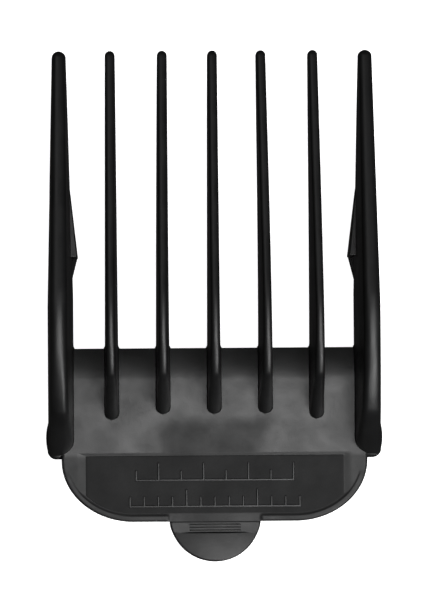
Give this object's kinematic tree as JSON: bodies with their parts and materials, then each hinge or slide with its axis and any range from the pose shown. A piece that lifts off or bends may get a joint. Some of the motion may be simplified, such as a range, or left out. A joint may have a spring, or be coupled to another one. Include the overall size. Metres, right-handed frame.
{
  "type": "clipper guard comb",
  "caption": "Clipper guard comb with tall arched teeth on a flat plate, a blade pocket underneath and a sprung release tab at the rear.",
  "frame": {"origin": "under the middle of the comb, at the centre of its bounding box, on the surface its skirts stand on", "axes": "+X across the comb, +Y towards the tooth tips, +Z towards the skin side, away from the clipper"},
  "size_m": [0.05, 0.076, 0.0211],
  "materials": {
    "moulded_nylon": "satin moulded black nylon",
    "panel_nylon": "finely textured black nylon",
    "tab_nylon": "satin black nylon, thumb-polished"
  },
  "bodies": {
    "comb": {"base_plate": "moulded_nylon", "front_slope": "moulded_nylon", "tooth_1": "moulded_nylon", "tooth_2": "moulded_nylon", "tooth_3": "moulded_nylon", "tooth_4": "moulded_nylon", "tooth_5": "moulded_nylon", "outer_tooth_left": "moulded_nylon", "outer_tooth_right": "moulded_nylon", "side_skirt_left": "moulded_nylon", "side_skirt_right": "moulded_nylon", "blade_stop_left": "moulded_nylon", "blade_stop_right": "moulded_nylon", "blade_ledge_left": "moulded_nylon", "blade_ledge_right": "moulded_nylon", "side_ear_left": "moulded_nylon", "side_ear_right": "moulded_nylon", "label_panel": "panel_nylon", "panel_rim": "moulded_nylon", "size_marks": "panel_nylon"},
    "latch": {"release_tab": "tab_nylon", "thumb_pad": "tab_nylon", "grip_ribs": "tab_nylon", "latch_hook": "moulded_nylon"}
  },
  "joints": [
    {"name": "tab_flex", "type": "hinge", "parent": "comb", "child": "latch", "pos_m": [0, -0.03212, 0.0062], "axis": [-1, 0, 0], "range_deg": [0, 12], "stiffness_Nm_per_rad": 0.2}
  ]
}
